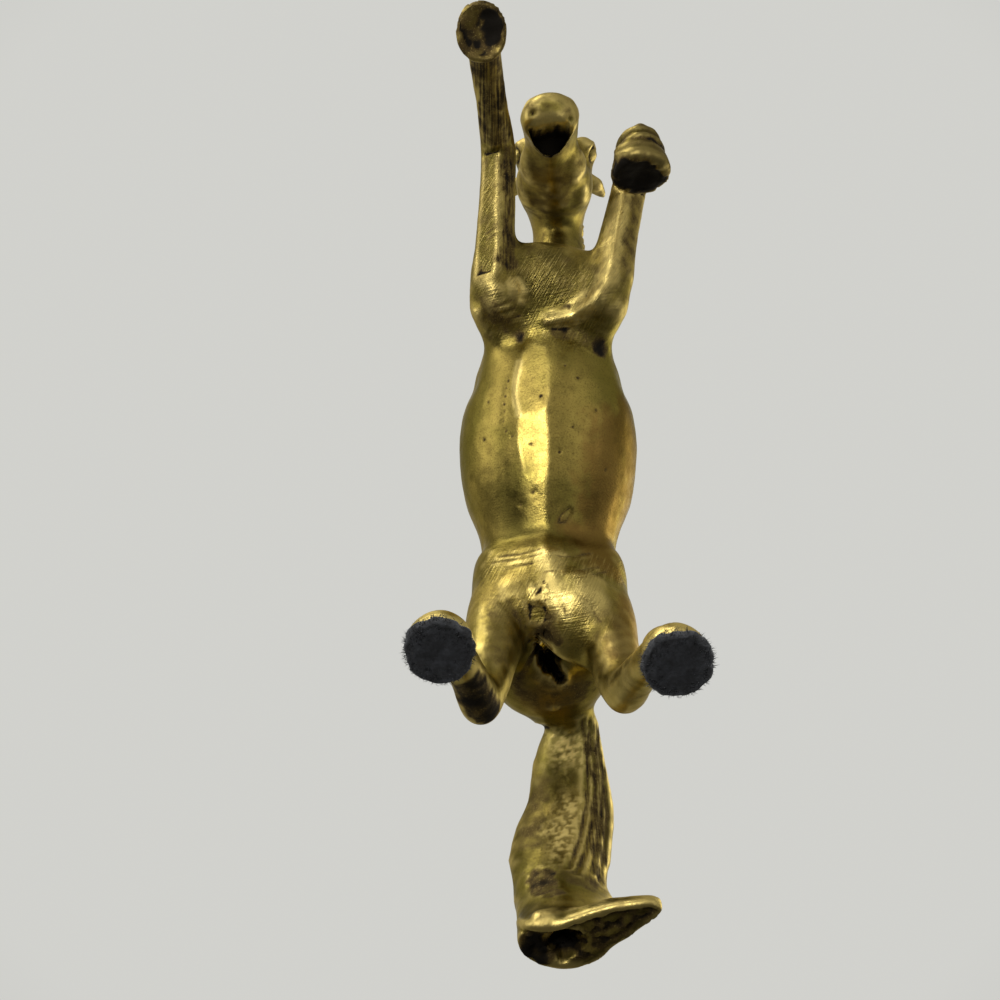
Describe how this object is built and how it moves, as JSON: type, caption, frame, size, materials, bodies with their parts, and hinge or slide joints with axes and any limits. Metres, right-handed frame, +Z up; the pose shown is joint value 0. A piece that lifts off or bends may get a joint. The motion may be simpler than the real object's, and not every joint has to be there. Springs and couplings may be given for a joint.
{
  "type": "horse figurine",
  "caption": "Cast brass figurine of a rearing horse that stands on felt-padded hind hooves and the end of its long tail, with one foreleg reaching out and the other folded.",
  "frame": {"origin": "middle of the bounding box, on the surface that the horse stands on", "axes": "+Z up, the horse faces -Y, its left side is +X"},
  "size_m": [0.0366, 0.125, 0.1352],
  "materials": {
    "brass": "aged, worn bright on the high spots",
    "filler": "filed braze",
    "felt": "black felt"
  },
  "bodies": {
    "root": {"body_left": "brass", "body_right": "brass", "neck": "brass", "head": "brass", "foreleg_left": "brass", "foreleg_right": "brass", "hindleg_left": "brass", "hindleg_right": "brass", "tail": "brass", "midline_braze": "filler", "neck_braze": "filler", "throat_braze": "filler", "foreleg_left_braze": "filler", "foreleg_right_braze": "filler", "hindleg_left_braze": "filler", "hindleg_right_braze": "filler", "tail_braze": "filler", "felt_pad_left": "felt", "felt_pad_right": "felt"}
  },
  "joints": []
}
